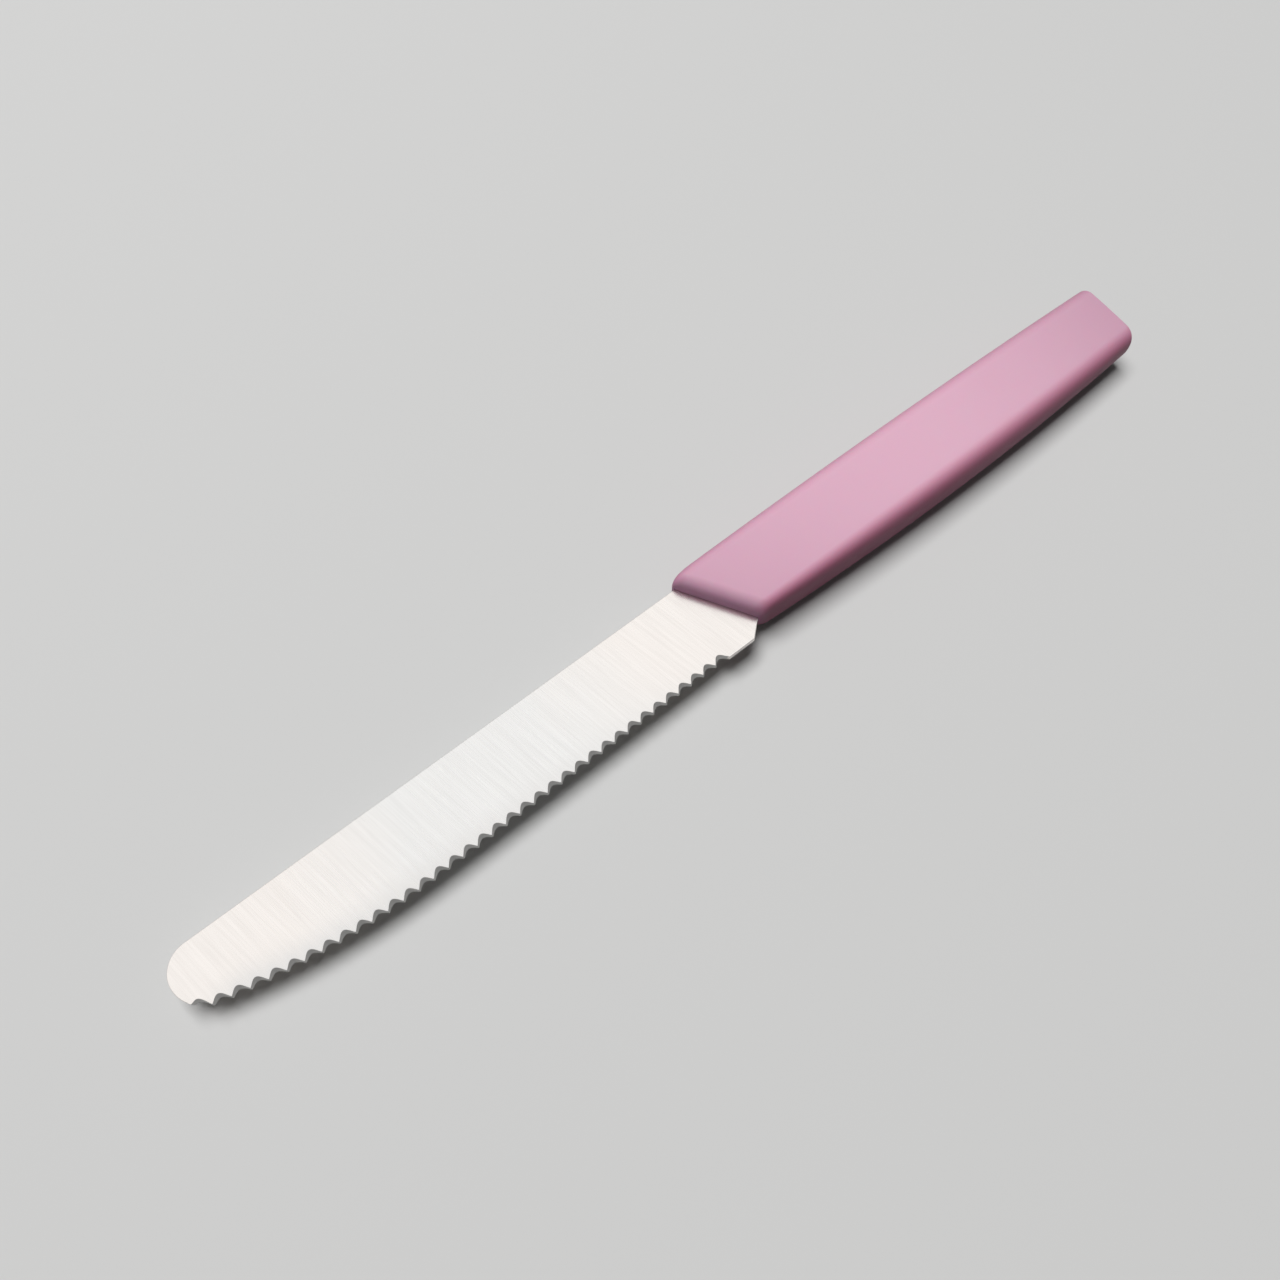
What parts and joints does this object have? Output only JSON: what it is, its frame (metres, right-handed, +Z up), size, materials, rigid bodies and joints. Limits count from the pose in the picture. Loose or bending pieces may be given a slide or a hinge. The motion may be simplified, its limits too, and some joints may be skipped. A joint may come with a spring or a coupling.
{
  "type": "table knife",
  "caption": "Table knife with a thin round-nosed steel blade, scalloped along its edge, and a satin pink plastic handle moulded on to the tang.",
  "frame": {"origin": "centre of the knife's bounding box in X and Y, at the handle's underside, with the knife lying on its side", "axes": "+X from the handle's butt to the blade's nose, +Y from the spine to the cutting edge, +Z up, out of the blade's flat side from which the teeth are ground"},
  "size_m": [0.2196, 0.0186, 0.0116],
  "materials": {
    "blade": "finely brushed across the blade",
    "handle": "satin"
  },
  "bodies": {
    "root": {"blade": "blade", "handle": "handle"}
  },
  "joints": []
}
